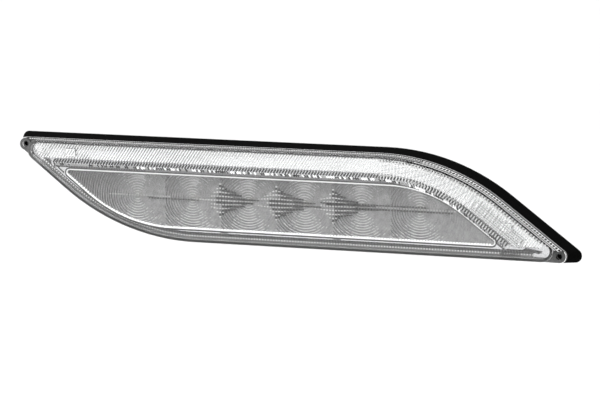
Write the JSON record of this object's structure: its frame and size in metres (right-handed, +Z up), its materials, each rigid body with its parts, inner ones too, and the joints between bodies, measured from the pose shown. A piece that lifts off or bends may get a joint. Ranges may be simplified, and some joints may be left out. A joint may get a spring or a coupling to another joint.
{
  "type": "reversing light",
  "caption": "Leaf-shaped surface-mounted LED reversing light: clear lens, ribbed light guide and Fresnel optic over a black housing",
  "frame": {"origin": "on the mounting plane, halfway between the two screw holes in the tips", "axes": "+X along the lamp, +Z up, light leaves along -Y and the mounting surface faces +Y"},
  "size_m": [0.3882, 0.0255, 0.0688],
  "materials": {
    "foam": "closed-cell foam sheet",
    "housing_black": "fine grained black moulding",
    "seal_grey": "pale silicone seal",
    "clear_lens": "clear polished acrylic",
    "metallised": "bright metallised plastic",
    "reflector_white": "white moulding",
    "clear_guide": "clear ribbed acrylic",
    "clear_optic": "clear acrylic with ring steps",
    "tray_silver": "satin silver-grey moulding",
    "board_white": "white solder mask",
    "screw_steel": "zinc plated",
    "vent_grey": "breather membrane disc",
    "component_black": "moulded component body",
    "capacitor_can": "drawn aluminium can",
    "lamp_yellow": "phosphor and clear dome",
    "tinned_brass": "tinned contact"
  },
  "bodies": {
    "root": {"bezel_frame": "metallised", "board_screws": "screw_steel", "capacitor_1": "capacitor_can", "capacitor_2": "capacitor_can", "driver_chip": "component_black", "guide_led_left": "lamp_yellow", "guide_led_right": "lamp_yellow", "guide_reflector": "reflector_white", "housing": "housing_black", "input_diode": "component_black", "led_1": "lamp_yellow", "led_2": "lamp_yellow", "led_3": "lamp_yellow", "led_4": "lamp_yellow", "led_5": "lamp_yellow", "led_6": "lamp_yellow", "led_board": "board_white", "lens_seal": "seal_grey", "light_guide": "clear_guide", "mounting_pad": "foam", "optic_plate": "clear_optic", "outer_lens": "clear_lens", "reflector_tray": "tray_silver", "storage_coil": "component_black", "terminal_1": "tinned_brass", "terminal_2": "tinned_brass", "terminal_3": "tinned_brass", "vent_plug": "vent_grey"}
  },
  "joints": []
}
